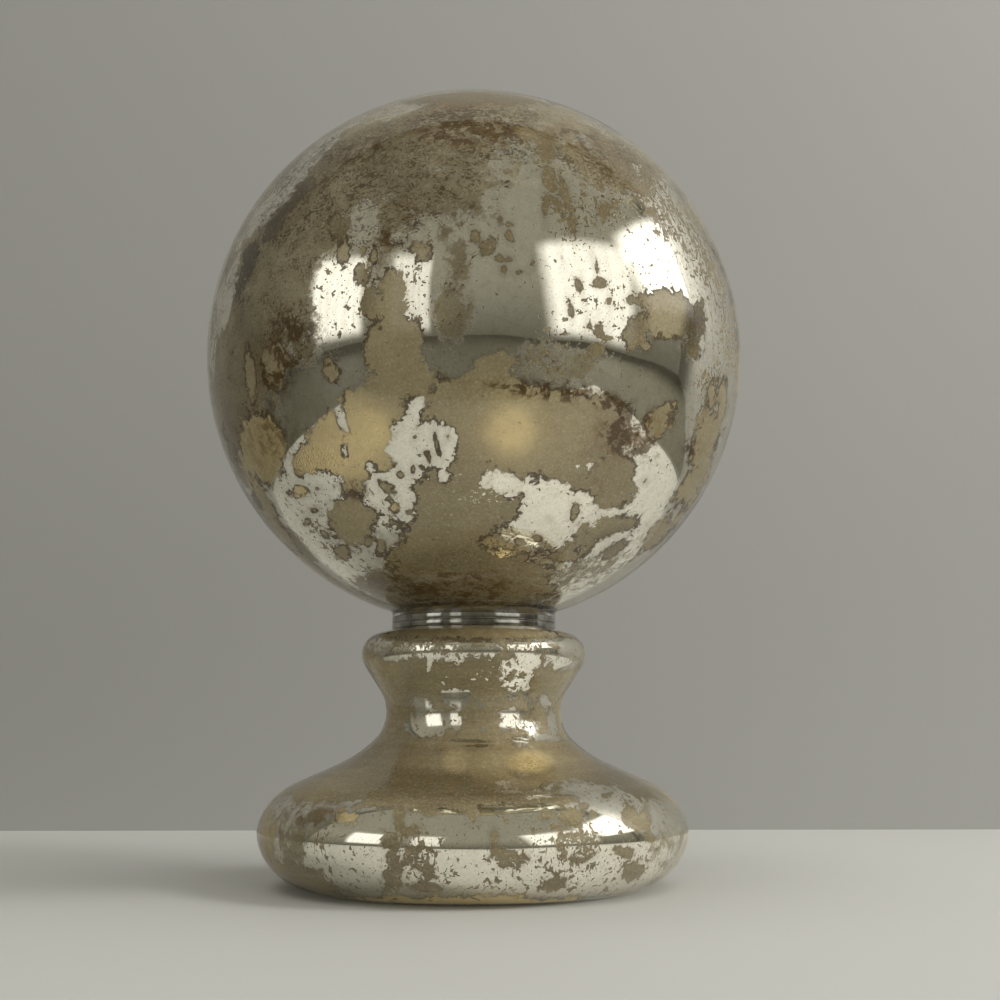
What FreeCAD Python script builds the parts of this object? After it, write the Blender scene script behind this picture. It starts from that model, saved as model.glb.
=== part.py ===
import FreeCAD, Part
import math
import os

# Silvered glass ball on a turned glass pedestal, in millimetres, +Z up.
# Both glass shells are hollow and are lined with a silver film and a tan backing coat.
# Two polished rings lie between the glass necks, and a hidden cemented sleeve lines all four up.
# The origin is the middle of the ring that the foot rests on.

# Ball
ball_radius = 101.6
ball_wall = 2.8
neck_drop = 1.1  # straight part of the ball's neck, above the rings
neck_round = 1.5  # rounding where the ball runs into its neck

# Rings between the necks
collar_radius = 30.75
lower_ring_height = 2.0
upper_ring_height = 2.2
ring_groove = 0.3  # dark line between the two rings
groove_depth = 1.0
ring_edge = 0.25  # rounding of a ring's outer corners

# Necks, sleeve and cement
neck_step = 0.15  # the ball's neck stands this far inside the rings
neck_wall = 2.9
cement_bed = 1.8
sleeve_wall = 1.0
sleeve_reach_up = 8.0
sleeve_reach_down = 9.0
cement_bead = 1.0  # cement that stands past the end of each glass bore
ring_clearance = 0.05

# Linings
silver_film = 0.25
backing_coat = 0.25
coat_clearance = 0.15  # between the film and the coat

# Pedestal outline, from the table up: foot, waist, bulge and mouth
pedestal_wall = 3.2
foot_radius = 78.5
belly_height = 19.3  # height at which the foot is widest
waist_radius = 32.4
waist_rise = 43.0  # waist above the foot's widest place
bulge_radius = 41.9
bulge_rise = 21.2  # bulge above the waist
shoulder_rise = 9.2  # mouth above the bulge

# Rounds of the outline, as shares of the long hollow above the foot
hollow_round_share = 1.0
belly_round_share = 0.3023
over_round_share = 0.563
waist_round_share = 0.325
bulge_top_share = 0.85  # of the mouth's rise above the bulge

# Directions, in degrees, in which one round runs into the next, seen from the round's own centre
under_join = -18.2
over_join = 23.9
hollow_join = 225.5
rest_direction = -77.13  # where the under round meets the table

# Lean, in degrees, of each straight from the line through the centres of the rounds it joins
flare_lean = 14.45
rise_lean = 27.8

# Underside
rest_width = 2.5  # flat ground ring that touches the table
punt_rise = 5.0  # height of the hollow under the foot, at the middle

up = FreeCAD.Vector(0, 0, 1)
outward = FreeCAD.Vector(1, 0, 0)
inward = -outward
middle = FreeCAD.Vector(0, 0, 0)
full_turn = 360
clockwise, anticlockwise = 1, -1


def at(radius, height):
    return FreeCAD.Vector(radius, 0, height)


def on_round(centre, radius, angle):
    turn = math.radians(angle)
    return centre + at(radius * math.cos(turn), radius * math.sin(turn))


def angle_of(centre, place):
    return math.degrees(math.atan2(place.z - centre.z, place.x - centre.x)) % full_turn


def line(start, end):
    return Part.LineSegment(start, end).toShape()


def arc(centre, radius, start_angle, end_angle):
    half_way = (start_angle + end_angle) / 2
    ends = [on_round(centre, radius, angle) for angle in (start_angle, half_way, end_angle)]
    return Part.Arc(*ends).toShape()


def chain(places):
    return [line(start, end) for start, end in zip(places, places[1:])]


def turned(edges):
    """Solid of revolution of one closed outline."""
    face = Part.Face(Part.Wire(Part.__sortEdges__(edges)))
    return face.revolve(middle, up, full_turn)


def fitting_radius(apart, growth, reach, gain):
    """Radius r at which the vector apart + growth * r is as long as reach + gain * r."""
    square = growth.dot(growth) - gain**2
    single = apart.dot(growth) - reach * gain
    constant = apart.dot(apart) - reach**2
    return (-single - math.sqrt(single**2 - square * constant)) / square


def crossing_line(centre_a, radius_a, centre_b, radius_b, turning):
    """Ends of the straight that leaves round a and meets round b on its other side.

    The outline goes about round a in the turning direction, and about round b the other way.
    """
    apart = centre_b - centre_a
    lean = math.degrees(math.acos((radius_a + radius_b) / apart.Length))
    angle = angle_of(centre_a, centre_b) + turning * lean
    return on_round(centre_a, radius_a, angle), on_round(centre_b, -radius_b, angle)


# Heights, and radii of the outline's rounds, that follow from the sizes above
waist_height = belly_height + waist_rise
bulge_height = waist_height + bulge_rise
shoulder_height = bulge_height + shoulder_rise

flare_stretch = 1 / math.cos(math.radians(flare_lean))
over_growth = inward * belly_round_share
over_growth += on_round(middle, belly_round_share - over_round_share, over_join)
hollow_growth = outward * waist_round_share
hollow_growth += on_round(middle, waist_round_share - hollow_round_share, hollow_join)
flare_apart = at(waist_radius - foot_radius, waist_rise)
flare_gain = (hollow_round_share + over_round_share) * flare_stretch
reference_round = fitting_radius(flare_apart, hollow_growth - over_growth, 0, flare_gain)
hollow_round = reference_round * hollow_round_share
belly_round = reference_round * belly_round_share
over_round = reference_round * over_round_share
waist_round = reference_round * waist_round_share

rise_stretch = 1 / math.cos(math.radians(rise_lean))
rise_apart = at(bulge_radius - waist_radius - waist_round, bulge_rise)
bulge_low_round = fitting_radius(rise_apart, inward, waist_round * rise_stretch, rise_stretch)
bulge_top_round = shoulder_rise * bulge_top_share

join_sine = math.sin(math.radians(under_join))
rest_sine = math.sin(math.radians(rest_direction))
under_round = (belly_height + belly_round * join_sine) / (join_sine - rest_sine)

coat_start = silver_film + coat_clearance
lining = coat_start + backing_coat

# Places that follow
neck_radius = collar_radius - neck_step
bore_radius = neck_radius - neck_wall
sleeve_radius = bore_radius - cement_bed
groove_height = shoulder_height + lower_ring_height
collar_top = groove_height + ring_groove + upper_ring_height

hollow_reach = ball_radius + neck_round
neck_hollow_radius = neck_radius + neck_round
ball_rise = math.sqrt(hollow_reach**2 - neck_hollow_radius**2)
ball_centre = at(0, collar_top + neck_drop + ball_rise)

belly_centre = at(foot_radius - belly_round, belly_height)
under_centre = on_round(belly_centre, belly_round - under_round, under_join)
over_centre = on_round(belly_centre, belly_round - over_round, over_join)
waist_centre = at(waist_radius + waist_round, waist_height)
hollow_centre = on_round(waist_centre, waist_round - hollow_round, hollow_join)
bulge_low_centre = at(bulge_radius - bulge_low_round, bulge_height)
bulge_top_centre = at(bulge_radius - bulge_top_round, bulge_height)

mouth_edge = at(collar_radius, shoulder_height)
mouth_reach = mouth_edge - bulge_top_centre
shoulder_lean = math.degrees(math.acos(bulge_top_round / mouth_reach.Length))
shoulder_angle = angle_of(bulge_top_centre, mouth_edge) - shoulder_lean

rest_outer = on_round(under_centre, under_round, rest_direction).x
rest_inner = rest_outer - rest_width
punt_round = (rest_inner**2 + punt_rise**2) / (2 * punt_rise)
punt_centre = at(0, punt_rise - punt_round)


def shoulder_place(inset, radius):
    """Place at this radius on the shoulder's straight, moved into the glass by inset."""
    start = on_round(bulge_top_centre, bulge_top_round - inset, shoulder_angle)
    slope = 1 / math.tan(math.radians(shoulder_angle))
    return at(radius, start.z + (start.x - radius) * slope)


def floor_edges(inset):
    """Underside from the axis to the foot, moved into the glass by inset."""
    round_now = punt_round + inset
    drop = inset - punt_centre.z
    corner = at(math.sqrt(round_now**2 - drop**2), inset)
    dome = arc(punt_centre, round_now, full_turn / 4, angle_of(punt_centre, corner))
    under_now = under_round - inset
    under_drop = inset - under_centre.z
    foot = at(under_centre.x + math.sqrt(under_now**2 - under_drop**2), inset)
    return [dome, line(corner, foot)], foot


def pedestal_outline(inset, mouth_radius):
    """Edges from the axis, under the foot and up to the mouth, moved into the glass by inset."""
    edges, foot = floor_edges(inset)
    under_start = angle_of(under_centre, foot) - full_turn
    edges.append(arc(under_centre, under_round - inset, under_start, under_join))
    edges.append(arc(belly_centre, belly_round - inset, under_join, over_join))

    over_now, hollow_now = over_round - inset, hollow_round + inset
    flare_foot, flare_top = crossing_line(over_centre, over_now, hollow_centre, hollow_now, anticlockwise)
    edges.append(arc(over_centre, over_now, over_join, angle_of(over_centre, flare_foot)))
    edges.append(line(flare_foot, flare_top))
    edges.append(arc(hollow_centre, hollow_now, angle_of(hollow_centre, flare_top), hollow_join))

    waist_now, low_now = waist_round + inset, bulge_low_round - inset
    rise_foot, rise_top = crossing_line(waist_centre, waist_now, bulge_low_centre, low_now, clockwise)
    edges.append(arc(waist_centre, waist_now, hollow_join, angle_of(waist_centre, rise_foot)))
    edges.append(line(rise_foot, rise_top))
    low_start = angle_of(bulge_low_centre, rise_top) - full_turn
    edges.append(arc(bulge_low_centre, low_now, low_start, 0))

    edges.append(arc(bulge_top_centre, bulge_top_round - inset, 0, shoulder_angle))
    shoulder_start = on_round(bulge_top_centre, bulge_top_round - inset, shoulder_angle)
    mouth = shoulder_place(inset, mouth_radius)
    edges.append(line(shoulder_start, mouth))
    return edges, at(0, punt_rise + inset), mouth


def pedestal_glass():
    outside, outside_axis, rim = pedestal_outline(0, collar_radius)
    inside, inside_axis, bore = pedestal_outline(pedestal_wall, bore_radius)
    mouth = chain([rim, at(bore_radius, shoulder_height), bore])
    return turned(outside + mouth + inside + [line(outside_axis, inside_axis)])


def pedestal_lining(start, thickness):
    outside, outside_axis, outside_end = pedestal_outline(start, bore_radius)
    inside, inside_axis, inside_end = pedestal_outline(start + thickness, bore_radius)
    ends = [line(outside_axis, inside_axis), line(outside_end, inside_end)]
    return turned(outside + inside + ends)


def ball_arc(radius, start):
    """Part circle of the ball from a place near the neck, round the side, to the top."""
    return arc(ball_centre, radius, angle_of(ball_centre, start) - full_turn, full_turn / 4)


def ball_bore_place(radius):
    """Where a sphere about the ball's centre meets the neck's bore."""
    return at(bore_radius, ball_centre.z - math.sqrt(radius**2 - bore_radius**2))


def ball_top(radius):
    return ball_centre + at(0, radius)


def ball_glass():
    hollow_centre_here = at(neck_hollow_radius, collar_top + neck_drop)
    toward_ball = angle_of(hollow_centre_here, ball_centre)
    hollow_end = on_round(hollow_centre_here, neck_round, toward_ball)
    neck_top = at(neck_radius, collar_top + neck_drop)
    rim = at(bore_radius, collar_top)
    bore = ball_bore_place(ball_radius - ball_wall)
    edges = chain([bore, rim, at(neck_radius, collar_top), neck_top])
    edges.append(arc(hollow_centre_here, neck_round, full_turn / 2, toward_ball))
    edges.append(ball_arc(ball_radius, hollow_end))
    edges.append(line(ball_top(ball_radius), ball_top(ball_radius - ball_wall)))
    edges.append(ball_arc(ball_radius - ball_wall, bore))
    return turned(edges)


def ball_lining(start, thickness):
    outer = ball_radius - ball_wall - start
    inner = outer - thickness
    outer_end, inner_end = ball_bore_place(outer), ball_bore_place(inner)
    edges = [ball_arc(outer, outer_end), ball_arc(inner, inner_end)]
    edges.append(line(outer_end, inner_end))
    edges.append(line(ball_top(outer), ball_top(inner)))
    return turned(edges)


def ring(bottom, height, land):
    """Flat polished ring with rounded outer corners and a low land on top that spaces the next one."""
    hole = sleeve_radius + ring_clearance
    land_radius = collar_radius - groove_depth
    top = bottom + height
    low = at(collar_radius - ring_edge, bottom + ring_edge)
    high = at(collar_radius - ring_edge, top - ring_edge)
    edges = [arc(low, ring_edge, -full_turn / 4, 0), arc(high, ring_edge, 0, full_turn / 4)]
    edges.append(line(at(collar_radius, low.z), at(collar_radius, high.z)))
    edges += chain([at(hole, bottom), at(low.x, bottom)])
    if land > 0:
        edges += chain([at(high.x, top), at(land_radius, top), at(land_radius, top + land)])
        edges += chain([at(land_radius, top + land), at(hole, top + land), at(hole, bottom)])
    else:
        edges += chain([at(high.x, top), at(hole, top), at(hole, bottom)])
    return turned(edges)


def tube(inner, outer, bottom, top):
    corners = [at(inner, bottom), at(outer, bottom), at(outer, top), at(inner, top), at(inner, bottom)]
    return turned(chain(corners))


def joining_sleeve():
    bottom = shoulder_height - sleeve_reach_down
    return tube(sleeve_radius - sleeve_wall, sleeve_radius, bottom, collar_top + sleeve_reach_up)


def ball_neck_cement():
    top = ball_bore_place(ball_radius - ball_wall - lining).z + cement_bead
    return tube(sleeve_radius, bore_radius, collar_top, top)


def pedestal_neck_cement():
    lining_end = shoulder_place(pedestal_wall + lining, bore_radius)
    return tube(sleeve_radius, bore_radius, lining_end.z - cement_bead, shoulder_height)


pieces = {
    "ball_glass": ball_glass(),
    "ball_silvering": ball_lining(0, silver_film),
    "ball_backing_coat": ball_lining(coat_start, backing_coat),
    "ball_neck_cement": ball_neck_cement(),
    "upper_collar_ring": ring(groove_height + ring_groove, upper_ring_height, 0),
    "lower_collar_ring": ring(shoulder_height, lower_ring_height, ring_groove),
    "joining_sleeve": joining_sleeve(),
    "pedestal_neck_cement": pedestal_neck_cement(),
    "pedestal_glass": pedestal_glass(),
    "pedestal_silvering": pedestal_lining(pedestal_wall, silver_film),
    "pedestal_backing_coat": pedestal_lining(pedestal_wall + coat_start, backing_coat),
}

os.makedirs("parts", exist_ok=True)
for name, shape in pieces.items():
    shape.exportStep(f"parts/{name}.step")
    box = shape.BoundBox
    print(name, "valid", shape.isValid(), "solids", len(shape.Solids), "volume", round(shape.Volume, 1))
    print("    box", round(box.XMin, 2), round(box.XMax, 2), round(box.ZMin, 2), round(box.ZMax, 2))
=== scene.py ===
import cmath
import math

import bpy
import numpy as np
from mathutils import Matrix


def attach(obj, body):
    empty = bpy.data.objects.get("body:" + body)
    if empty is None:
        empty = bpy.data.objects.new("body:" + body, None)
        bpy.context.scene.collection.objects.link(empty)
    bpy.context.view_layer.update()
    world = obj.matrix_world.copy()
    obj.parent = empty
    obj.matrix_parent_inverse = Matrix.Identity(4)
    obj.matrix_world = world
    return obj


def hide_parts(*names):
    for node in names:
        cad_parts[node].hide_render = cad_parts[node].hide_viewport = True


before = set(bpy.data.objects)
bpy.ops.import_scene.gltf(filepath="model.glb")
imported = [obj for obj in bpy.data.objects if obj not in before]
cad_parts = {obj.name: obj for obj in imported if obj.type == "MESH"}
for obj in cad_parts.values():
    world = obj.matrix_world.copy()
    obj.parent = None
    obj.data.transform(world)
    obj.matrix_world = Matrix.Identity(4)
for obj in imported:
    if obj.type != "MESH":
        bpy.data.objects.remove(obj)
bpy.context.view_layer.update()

scene = bpy.context.scene
scene.view_settings.view_transform = "Standard"
mm = 0.001  # metres in a millimetre

# Camera: low in front of the foot, looking slightly up

shot = {
    "place": (0.0, -0.5182, 0.0594),
    "turnRight": 1.09,  # degrees
    "lookUp": 9.08,  # degrees
    "focalPixels": 1375.0,
    "picturePixels": 1000,
    "sensorWidth": 36.0,
}


def cameraAxes():
    turn, lift = math.radians(shot["turnRight"]), math.radians(shot["lookUp"])
    ahead = np.array([math.sin(turn) * math.cos(lift), math.cos(turn) * math.cos(lift), math.sin(lift)])
    right = np.array([math.cos(turn), -math.sin(turn), 0.0])
    return ahead, right, np.cross(right, ahead)


def makeCamera():
    lens = bpy.data.cameras.new("camera")
    lens.sensor_width = shot["sensorWidth"]
    lens.lens = shot["sensorWidth"] * shot["focalPixels"] / shot["picturePixels"]
    lens.clip_start, lens.clip_end = 0.01, 20
    camera = bpy.data.objects.new("camera", lens)
    camera.location = shot["place"]
    camera.rotation_euler = (math.radians(90 + shot["lookUp"]), 0, -math.radians(shot["turnRight"]))
    scene.collection.objects.link(camera)
    scene.camera = camera


makeCamera()
print("camera placed")

# Outlines, as rows of (radius, height) in millimetres

ball = {
    "radius": 101.6,
    "wall": 2.8,
    "neckRadius": 30.6,
    "neckRound": 1.5,
    "boreRadius": 27.7,
    "neckFoot": 97.2,
    "neckTop": 98.3,
    "neckRowGap": 0.2,
    "rowGap": 1.9,
    "insideGap": 2.6,
    "filmGap": 1.25,
    "filmBackGap": 14,
    "turns": 224,
}
ball["centre"] = ball["neckTop"] + math.sqrt(
    (ball["radius"] + ball["neckRound"]) ** 2 - (ball["neckRadius"] + ball["neckRound"]) ** 2
)

pedestal = {
    "wall": 3.2,
    "footRadius": 78.5,
    "bellyHeight": 19.3,
    "waistRadius": 32.4,
    "waistRise": 43.0,  # above the belly
    "bulgeRadius": 41.9,
    "bulgeRise": 21.2,  # above the waist
    "mouthRadius": 30.75,
    "mouthRise": 9.2,  # above the bulge
    "boreRadius": 27.7,
    "restWidth": 2.5,
    "puntRise": 5.0,
    # rounds, as shares of the long hollow above the foot
    "bellyShare": 0.3023,
    "overShare": 0.563,
    "waistShare": 0.325,
    "bulgeTopShare": 0.85,  # of the mouth's rise
    # directions in degrees in which one round runs into the next
    "restDirection": -77.13,
    "underJoin": -18.2,
    "overJoin": 23.9,
    "hollowJoin": 45.5,
    "flareLean": 14.45,
    "riseLean": 27.8,
    "rowGap": 1.5,
    "insideGap": 2.2,
    "mouthGap": 1.3,
    "filmGap": 0.95,
    "filmBackGap": 7,
    "turns": 224,
}

film = {
    "intoGlass": 0.06,  # so that no air shows between the glass and its film
    "depth": 0.24,
    "turns": 340,
    "frontShare": 0.42,  # how much closer the turns stand in front than behind
    "step": 0.03,
    "easedHeights": (0.062, 0.084),  # metres above the table
}


def polar(radius, angle):
    return cmath.rect(radius, math.radians(angle))


def fittingRadius(apart, growth, reach, gain):
    # radius at which the arrow apart + growth * radius is as long as reach + gain * radius
    square = abs(growth) ** 2 - gain**2
    single = (apart * growth.conjugate()).real - reach * gain
    constant = abs(apart) ** 2 - reach**2
    return (-single - math.sqrt(single**2 - square * constant)) / square


def pedestalRounds():
    # centre radius, centre height, radius, first and last direction of each round, from the foot up;
    # a hollow round has a negative radius, so that it grows where the outline moves into the glass
    size = pedestal
    belly, over, waist = size["bellyShare"], size["overShare"], size["waistShare"]
    overGrowth = polar(belly - over, size["overJoin"]) - belly
    hollowGrowth = waist - polar(waist - 1, size["hollowJoin"])
    flare = complex(size["waistRadius"] - size["footRadius"], size["waistRise"])
    stretch = 1 / math.cos(math.radians(size["flareLean"]))
    hollow = fittingRadius(flare, hollowGrowth - overGrowth, 0, (1 + over) * stretch)
    belly, over, waist = hollow * belly, hollow * over, hollow * waist

    waistHeight = size["bellyHeight"] + size["waistRise"]
    bulgeHeight = waistHeight + size["bulgeRise"]
    stretch = 1 / math.cos(math.radians(size["riseLean"]))
    rise = complex(size["bulgeRadius"] - size["waistRadius"] - waist, size["bulgeRise"])
    low, top = fittingRadius(rise, -1, waist * stretch, stretch), size["mouthRise"] * size["bulgeTopShare"]
    underSine, restSine = (math.sin(math.radians(size[join])) for join in ("underJoin", "restDirection"))
    under = (size["bellyHeight"] + belly * underSine) / (underSine - restSine)

    bellyCentre = complex(size["footRadius"] - belly, size["bellyHeight"])
    underCentre = bellyCentre + polar(belly - under, size["underJoin"])
    overCentre = bellyCentre + polar(belly - over, size["overJoin"])
    waistCentre = complex(size["waistRadius"] + waist, waistHeight)
    hollowCentre = waistCentre - polar(waist - hollow, size["hollowJoin"])
    lowCentre = complex(size["bulgeRadius"] - low, bulgeHeight)
    topCentre = complex(size["bulgeRadius"] - top, bulgeHeight)
    mouth = complex(size["mouthRadius"], bulgeHeight + size["mouthRise"]) - topCentre

    def crossing(first, second, lean):
        # direction of the straight line that runs from one round to the next without a corner
        return math.degrees(cmath.phase(second - first)) + lean

    flareEnd = crossing(overCentre, hollowCentre, -size["flareLean"])
    riseEnd = crossing(waistCentre, lowCentre, size["riseLean"]) - 180
    shoulder = math.degrees(cmath.phase(mouth) - math.acos(top / abs(mouth)))
    rounds = [
        (underCentre, under, size["restDirection"], size["underJoin"]),
        (bellyCentre, belly, size["underJoin"], size["overJoin"]),
        (overCentre, over, size["overJoin"], flareEnd),
        (hollowCentre, -hollow, flareEnd, size["hollowJoin"]),
        (waistCentre, -waist, size["hollowJoin"], riseEnd),
        (lowCentre, low, riseEnd, 0),
        (topCentre, top, 0, shoulder),
    ]
    return [(centre.real, centre.imag, *rest) for centre, *rest in rounds]


def roundRows(centreRadius, centreHeight, radius, first, last, gap):
    steps = max(4, math.ceil(math.radians(abs(last - first)) * abs(radius) / gap))
    angles = np.radians(np.linspace(first, last, steps + 1))
    return [(centreRadius + radius * math.cos(a), centreHeight + radius * math.sin(a)) for a in angles]


def straightRows(start, end, gap):
    steps = max(1, math.ceil(math.dist(start, end) / gap))
    return [tuple(np.array(start) + (np.array(end) - np.array(start)) * i / steps) for i in range(steps + 1)]


def joinRows(*parts):
    rows = []
    for part in parts:
        for row in part:
            if not rows or math.dist(rows[-1], row) > 1e-4:
                rows.append(row)
    return rows


def ballRows(inset, endRadius, gap):
    # a sphere moved inwards by inset, from where it meets the given radius to the top
    radius = ball["radius"] - inset
    start = -math.degrees(math.acos(endRadius / radius))
    return roundRows(0, ball["centre"], radius, start, 90, gap)


def ballOutside():
    neckRound = ball["neckRound"]
    hollow = (ball["neckRadius"] + neckRound, ball["neckTop"])
    toBall = math.degrees(math.atan2(ball["centre"] - hollow[1], -hollow[0]))
    neck = roundRows(*hollow, neckRound, 180, toBall, ball["neckRowGap"])
    return joinRows([(ball["neckRadius"], ball["neckFoot"])], neck, ballRows(0, neck[-1][0], ball["rowGap"]))


def pedestalRows(inset, endRadius, gap):
    rounds, rise = pedestalRounds(), pedestal["puntRise"]
    underRadius, _, under, rest, _ = rounds[0]
    inner = underRadius + under * math.cos(math.radians(rest)) - pedestal["restWidth"]
    puntRadius = (inner**2 + rise**2) / (2 * rise)
    dome = puntRadius + inset
    corner = math.asin((inset + puntRadius - rise) / dome)
    rows = roundRows(0, rise - puntRadius, dome, 90, math.degrees(corner), 3 * gap)
    for index, (centreRadius, centreHeight, radius, first, last) in enumerate(rounds):
        side = radius - inset
        if index == 0:
            first = math.degrees(math.asin((inset - centreHeight) / side))
        part = roundRows(centreRadius, centreHeight, side, first, last, gap)
        rows = joinRows(rows, straightRows(rows[-1], part[0], gap), part)
    start, lean = rows[-1], math.radians(rounds[-1][4])
    mouth = (endRadius, start[1] + (start[0] - endRadius) / math.tan(lean))
    return joinRows(rows, straightRows(start, mouth, gap))


def shellRows(outside, inside):
    # the outer outline, back along the inner one, and across to the start, so that the turned wall is closed
    return joinRows(outside, inside[::-1], [outside[0]])


def filmRows(glassPiece, makeRows):
    # the outline of the film inside a glass, finer in front than behind
    wall, bore = glassPiece["wall"], glassPiece["boreRadius"]
    front = makeRows(wall - film["intoGlass"], bore, glassPiece["filmGap"])
    return shellRows(front, makeRows(wall + film["depth"], bore, glassPiece["filmBackGap"]))


# Turned pieces: one Geometry Nodes tree turns a row of outline points about the upright axis

turning = {
    "seamGap": 0.00001,  # metres
    "cornerAngle": math.radians(50),
}


def makeTurningTree():
    tree = bpy.data.node_groups.new("turnedWall", "GeometryNodeTree")
    face = tree.interface
    face.new_socket("Outline", in_out="INPUT", socket_type="NodeSocketGeometry")
    turns = face.new_socket("Turns", in_out="INPUT", socket_type="NodeSocketInt")
    front = face.new_socket("Front Share", in_out="INPUT", socket_type="NodeSocketFloat")
    seam = face.new_socket("Seam Gap", in_out="INPUT", socket_type="NodeSocketFloat")
    finish = face.new_socket("Finish", in_out="INPUT", socket_type="NodeSocketMaterial")
    face.new_socket("Geometry", in_out="OUTPUT", socket_type="NodeSocketGeometry")
    made, links = tree.nodes, tree.links

    def node(kind, **settings):
        new = made.new(kind)
        for name, value in settings.items():
            setattr(new, name, value)
        return new

    def sums(operation, first, second):
        new = node("ShaderNodeMath", operation=operation)
        for socket, value in zip(new.inputs, (first, second)):
            if isinstance(value, bpy.types.NodeSocket):
                links.new(value, socket)
            else:
                socket.default_value = value
        return new.outputs[0]

    given = node("NodeGroupInput")
    count = node("GeometryNodeAttributeDomainSize")
    links.new(given.outputs["Outline"], count.inputs["Geometry"])
    rowCount = count.outputs["Point Count"]
    grid = node("GeometryNodeMeshGrid")
    links.new(sums("ADD", given.outputs["Turns"], 1), grid.inputs["Vertices X"])
    links.new(rowCount, grid.inputs["Vertices Y"])

    index = node("GeometryNodeInputIndex").outputs[0]
    row = sums("MODULO", index, rowCount)
    column = sums("FLOOR", sums("DIVIDE", sums("ADD", index, 0.5), rowCount), 0.0)
    even = sums("MULTIPLY", sums("DIVIDE", column, given.outputs["Turns"]), math.tau)
    crowd = sums("MULTIPLY", sums("COSINE", even, 0.0), given.outputs["Front Share"])
    angle = sums("SUBTRACT", even, crowd)
    sample = node("GeometryNodeSampleIndex", data_type="FLOAT_VECTOR", domain="POINT")
    links.new(given.outputs["Outline"], sample.inputs["Geometry"])
    links.new(node("GeometryNodeInputPosition").outputs[0], sample.inputs["Value"])
    links.new(row, sample.inputs["Index"])
    parts = node("ShaderNodeSeparateXYZ")
    links.new(sample.outputs[0], parts.inputs[0])
    place = node("ShaderNodeCombineXYZ")
    links.new(sums("MULTIPLY", parts.outputs["X"], sums("COSINE", angle, 0.0)), place.inputs["X"])
    links.new(sums("MULTIPLY", parts.outputs["X"], sums("SINE", angle, 0.0)), place.inputs["Y"])
    links.new(parts.outputs["Z"], place.inputs["Z"])

    moved = node("GeometryNodeSetPosition")
    links.new(grid.outputs["Mesh"], moved.inputs["Geometry"])
    links.new(place.outputs[0], moved.inputs["Position"])
    closed = node("GeometryNodeMergeByDistance")
    links.new(moved.outputs[0], closed.inputs["Geometry"])
    links.new(given.outputs["Seam Gap"], closed.inputs["Distance"])
    smooth = node("GeometryNodeSetShadeSmooth")
    links.new(closed.outputs[0], smooth.inputs["Geometry"])
    crisp = node("GeometryNodeSetShadeSmooth", domain="EDGE")
    links.new(smooth.outputs[0], crisp.inputs["Geometry"])
    corner = sums("GREATER_THAN", node("GeometryNodeInputMeshEdgeAngle").outputs[0], turning["cornerAngle"])
    links.new(corner, crisp.inputs["Selection"])
    crisp.inputs["Shade Smooth"].default_value = False
    real = node("GeometryNodeRealizeInstances")
    links.new(crisp.outputs[0], real.inputs[0])
    finished = node("GeometryNodeSetMaterial")
    links.new(real.outputs[0], finished.inputs["Geometry"])
    links.new(given.outputs["Finish"], finished.inputs["Material"])
    links.new(finished.outputs[0], node("NodeGroupOutput").inputs[0])
    sockets = {"Turns": turns, "Front Share": front, "Seam Gap": seam, "Finish": finish}
    return tree, {name: socket.identifier for name, socket in sockets.items()}


turningTree, turningInputs = makeTurningTree()


def turnedPiece(name, rows, turns, finish, replaced, frontShare=0.0):
    outline = bpy.data.meshes.new(name + "Outline")
    points = [(radius * mm, 0, height * mm) for radius, height in rows]
    outline.from_pydata(points, [(i, i + 1) for i in range(len(rows) - 1)], [])
    maker = bpy.data.objects.new(name + "Maker", outline)
    scene.collection.objects.link(maker)
    modifier = maker.modifiers.new("turning", "NODES")
    modifier.node_group = turningTree
    values = {"Turns": turns, "Front Share": frontShare, "Seam Gap": turning["seamGap"], "Finish": finish}
    for socket, value in values.items():
        modifier[turningInputs[socket]] = value
    drawn = bpy.context.evaluated_depsgraph_get()
    mesh = bpy.data.meshes.new_from_object(maker.evaluated_get(drawn))
    bpy.data.objects.remove(maker)
    mesh.name = name
    piece = bpy.data.objects.new(name, mesh)
    scene.collection.objects.link(piece)
    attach(piece, "root")
    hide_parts(replaced)
    print(name, len(mesh.polygons), "faces")
    return piece


# Finishes


def newFinish(name):
    material = bpy.data.materials.new(name)
    material.use_nodes = True
    tree = material.node_tree
    return material, tree, tree.nodes["Principled BSDF"]


# Node helpers shared by the finishes


def feed(tree, socket, value):
    if isinstance(value, bpy.types.NodeSocket):
        tree.links.new(value, socket)
    elif value is not None:
        socket.default_value = value


def sums(tree, operation, first, second=None, third=None, clamp=False):
    node = tree.nodes.new("ShaderNodeMath")
    node.operation, node.use_clamp = operation, clamp
    for socket, value in zip(node.inputs, (first, second, third)):
        feed(tree, socket, value)
    return node.outputs[0]


def ramp(tree, value, low, high):
    # smooth step from 0 at low to 1 at high
    node = tree.nodes.new("ShaderNodeMapRange")
    node.interpolation_type = "SMOOTHSTEP"
    feed(tree, node.inputs["Value"], value)
    feed(tree, node.inputs["From Min"], low)
    feed(tree, node.inputs["From Max"], high)
    return node.outputs[0]


def blend(tree, share, first, second):
    node = tree.nodes.new("ShaderNodeMix")
    node.data_type = "RGBA"
    feed(tree, node.inputs[0], share)
    feed(tree, node.inputs[6], first)
    feed(tree, node.inputs[7], second)
    return node.outputs[2]


def mixNumber(tree, share, first, second):
    node = tree.nodes.new("ShaderNodeMix")
    feed(tree, node.inputs[0], share)
    feed(tree, node.inputs[2], first)
    feed(tree, node.inputs[3], second)
    return node.outputs[0]


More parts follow.
